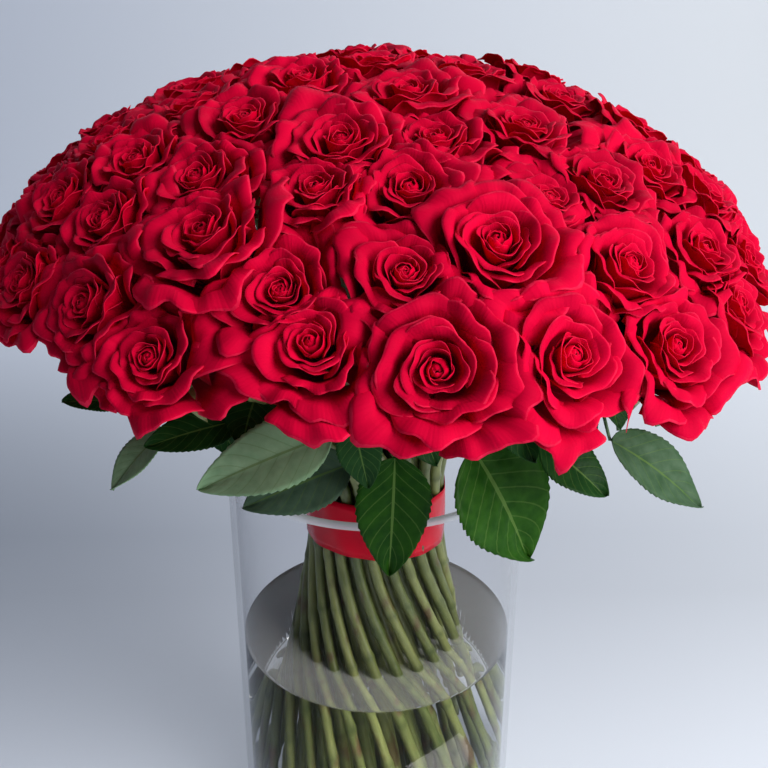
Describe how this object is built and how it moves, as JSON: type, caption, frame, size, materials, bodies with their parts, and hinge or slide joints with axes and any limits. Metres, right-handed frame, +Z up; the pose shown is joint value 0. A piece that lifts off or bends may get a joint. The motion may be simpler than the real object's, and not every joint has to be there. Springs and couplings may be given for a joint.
{
  "type": "roses in a vase",
  "caption": "Dome of open roses on spiralling tied stems, standing in water in a clear glass cylinder vase, as a table decoration.",
  "frame": {"origin": "middle of the vase's foot, on the surface that it stands on", "axes": "+Z up; the side that the picture shows looks along -Y, and +X is to the viewer's right"},
  "size_m": [0.4723, 0.4614, 0.5403],
  "materials": {
    "glass": "clear polished glass",
    "water": "still clear water",
    "ribbon": "wide glossy ribbon",
    "stem": "olive green bark with brown scars",
    "petal": "velvety red petal",
    "leaf": "satin green leaf with pale veins"
  },
  "bodies": {
    "root": {"vase": "glass", "water": "water", "ribbon": "ribbon", "stems_upper": "stem", "stems_lower": "stem", "roses_row0_0": "petal", "roses_row1_0": "petal", "roses_row1_1": "petal", "roses_row2_0": "petal", "roses_row2_1": "petal", "roses_row2_2": "petal", "roses_row2_3": "petal", "roses_row3_0": "petal", "roses_row3_1": "petal", "roses_row3_2": "petal", "roses_row3_3": "petal", "roses_row3_4": "petal", "roses_row3_5": "petal", "roses_row4_0": "petal", "roses_row4_1": "petal", "roses_row4_2": "petal", "roses_row4_3": "petal", "roses_row4_4": "petal", "roses_row4_5": "petal", "roses_row4_6": "petal", "roses_row4_7": "petal", "roses_row5_0": "petal", "roses_row5_1": "petal", "roses_row5_2": "petal", "roses_row5_3": "petal", "roses_row5_4": "petal", "roses_row5_5": "petal", "roses_row5_6": "petal", "roses_row5_7": "petal", "leaf_long_left": "leaf", "leaf_low_left": "leaf", "leaf_middle": "leaf", "leaf_tucked": "leaf", "leaf_broad_right": "leaf", "leaf_curled_right": "leaf", "leaf_far_right": "leaf", "leaf_far_left": "leaf", "leaf_dark_left": "leaf", "leaf_edge_left": "leaf", "leaf_back_1": "leaf", "leaf_back_2": "leaf", "leaf_back_3": "leaf", "leaf_back_4": "leaf", "leaf_back_5": "leaf", "leaf_back_6": "leaf"}
  },
  "joints": []
}
